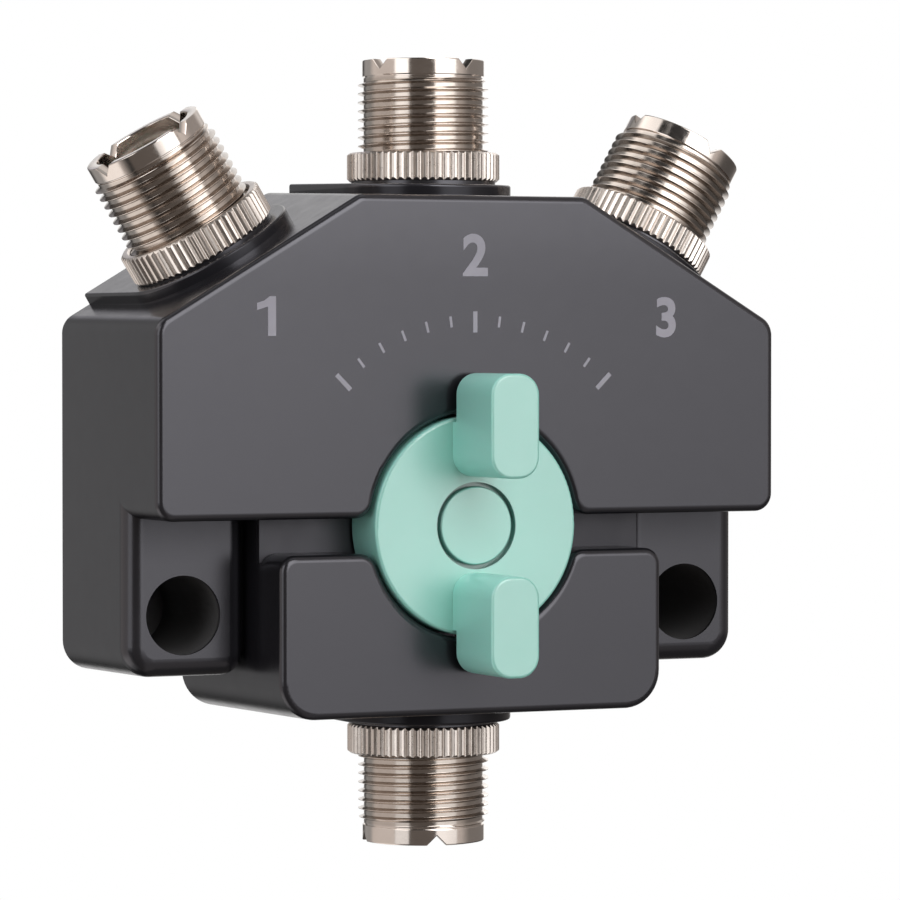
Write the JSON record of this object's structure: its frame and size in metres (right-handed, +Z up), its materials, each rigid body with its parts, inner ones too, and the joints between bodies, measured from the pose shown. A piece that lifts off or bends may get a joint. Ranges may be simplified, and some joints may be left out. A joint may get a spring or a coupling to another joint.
{
  "type": "coaxial antenna switch",
  "caption": "Wall-mounted coaxial selector in a die-cast case: a lever knob turns a contact arm that joins the lower socket to one of the sockets on the top and shoulders.",
  "frame": {"origin": "on the flat back face, on the axis of the knob", "axes": "+Z up towards the top socket, +Y into the wall (the knob faces -Y), +X to the right seen from the knob's side"},
  "size_m": [0.0851, 0.042, 0.0946],
  "materials": {
    "housing_paint": "satin dark grey baked enamel on die-cast metal",
    "cover_paint": "satin dark grey enamel on plate",
    "knob_plastic": "pale green moulded plastic, satin",
    "nickel_plate": "bright nickel plate on brass",
    "ptfe": "white PTFE, slightly waxy",
    "silvered_brass": "silver-washed brass",
    "spring_bronze": "phosphor bronze strip, brushed",
    "sintered_bronze": "sintered bronze, matt",
    "laminate": "brown phenolic laminate",
    "zinc_steel": "bright zinc-plated steel",
    "bright_steel": "ground steel"
  },
  "bodies": {
    "case": {"housing": "housing_paint", "rear_cover": "cover_paint", "rear_cover_screws": "zinc_steel", "shaft_bush": "sintered_bronze", "port_1_shell": "nickel_plate", "port_1_lock_ring": "nickel_plate", "port_1_insulator": "ptfe", "port_1_center_contact": "silvered_brass", "port_2_shell": "nickel_plate", "port_2_lock_ring": "nickel_plate", "port_2_insulator": "ptfe", "port_2_center_contact": "silvered_brass", "port_3_shell": "nickel_plate", "port_3_lock_ring": "nickel_plate", "port_3_insulator": "ptfe", "port_3_center_contact": "silvered_brass", "common_port_shell": "nickel_plate", "common_port_lock_ring": "nickel_plate", "common_port_insulator": "ptfe", "common_port_center_contact": "silvered_brass", "port_1_fixed_contact": "silvered_brass", "port_2_fixed_contact": "silvered_brass", "port_3_fixed_contact": "silvered_brass", "common_wiper": "spring_bronze", "detent_spring": "bright_steel"},
    "selector": {"knob": "knob_plastic", "knob_cap": "knob_plastic", "knob_screw": "zinc_steel", "shaft": "bright_steel", "shaft_thrust_washer": "zinc_steel", "shaft_retaining_ring": "zinc_steel", "rotor_hub": "ptfe", "rotor_contact": "spring_bronze", "rotor_clamp_washer": "laminate", "rotor_screw": "zinc_steel"},
    "detent_plunger": {"detent_ball": "bright_steel"}
  },
  "joints": [
    {"name": "knob_turn", "type": "hinge", "parent": "case", "child": "selector", "pos_m": [0, -0.025, 0], "axis": [0, 1, 0], "range_deg": [-45, 45]},
    {"name": "detent_press", "type": "slide", "parent": "case", "child": "detent_plunger", "axis": [0, -1, 0], "range_m": [0, 0.0005], "stiffness_N_per_m": 300, "springref_m": 0.002, "deforming": ["detent_spring"]}
  ]
}
